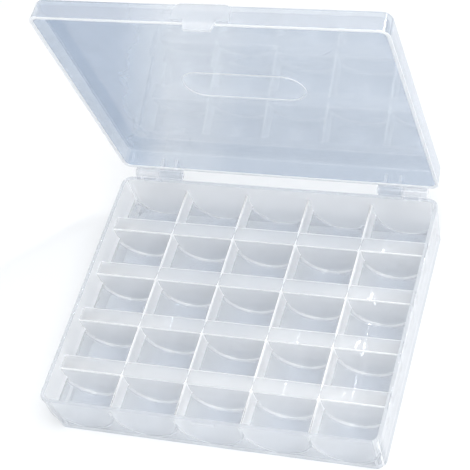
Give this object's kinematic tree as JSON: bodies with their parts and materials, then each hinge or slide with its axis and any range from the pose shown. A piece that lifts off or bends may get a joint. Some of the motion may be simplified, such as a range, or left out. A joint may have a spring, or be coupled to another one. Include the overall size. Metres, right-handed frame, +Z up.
{
  "type": "bobbin storage box",
  "caption": "Shallow clear plastic box with a grid of U-shaped pockets for sewing bobbins, and a lid on snap hinges with a front latch.",
  "frame": {"origin": "on the table, in the middle of the foot under the middle pocket", "axes": "+X to the right along the front edge, +Y to the back where the hinges are, +Z up"},
  "size_m": [0.1196, 0.1084, 0.1201],
  "materials": {
    "clear_plastic": "glossy, milky clear"
  },
  "bodies": {
    "tray": {"tray_wall": "clear_plastic", "catch": "clear_plastic", "pocket_row1_column1": "clear_plastic", "pocket_row1_column2": "clear_plastic", "pocket_row1_column3": "clear_plastic", "pocket_row1_column4": "clear_plastic", "pocket_row1_column5": "clear_plastic", "pocket_row2_column1": "clear_plastic", "pocket_row2_column2": "clear_plastic", "pocket_row2_column3": "clear_plastic", "pocket_row2_column4": "clear_plastic", "pocket_row2_column5": "clear_plastic", "pocket_row3_column1": "clear_plastic", "pocket_row3_column2": "clear_plastic", "pocket_row3_column3": "clear_plastic", "pocket_row3_column4": "clear_plastic", "pocket_row3_column5": "clear_plastic", "pocket_row4_column1": "clear_plastic", "pocket_row4_column2": "clear_plastic", "pocket_row4_column3": "clear_plastic", "pocket_row4_column4": "clear_plastic", "pocket_row4_column5": "clear_plastic", "pocket_row5_column1": "clear_plastic", "pocket_row5_column2": "clear_plastic", "pocket_row5_column3": "clear_plastic", "pocket_row5_column4": "clear_plastic", "pocket_row5_column5": "clear_plastic", "ridge_cap_1": "clear_plastic", "ridge_cap_2": "clear_plastic", "ridge_cap_3": "clear_plastic", "ridge_cap_4": "clear_plastic", "hinge_lug_left": "clear_plastic", "hinge_lug_right": "clear_plastic"},
    "lid": {"lid_panel": "clear_plastic", "lid_skirt": "clear_plastic", "latch": "clear_plastic", "hinge_knuckle_left": "clear_plastic", "hinge_knuckle_right": "clear_plastic"}
  },
  "joints": [
    {"name": "lid_hinge", "type": "hinge", "parent": "tray", "child": "lid", "pos_m": [0, 0.0515, 0.0184], "axis": [-1, 0, 0], "range_deg": [-80, 100]}
  ]
}
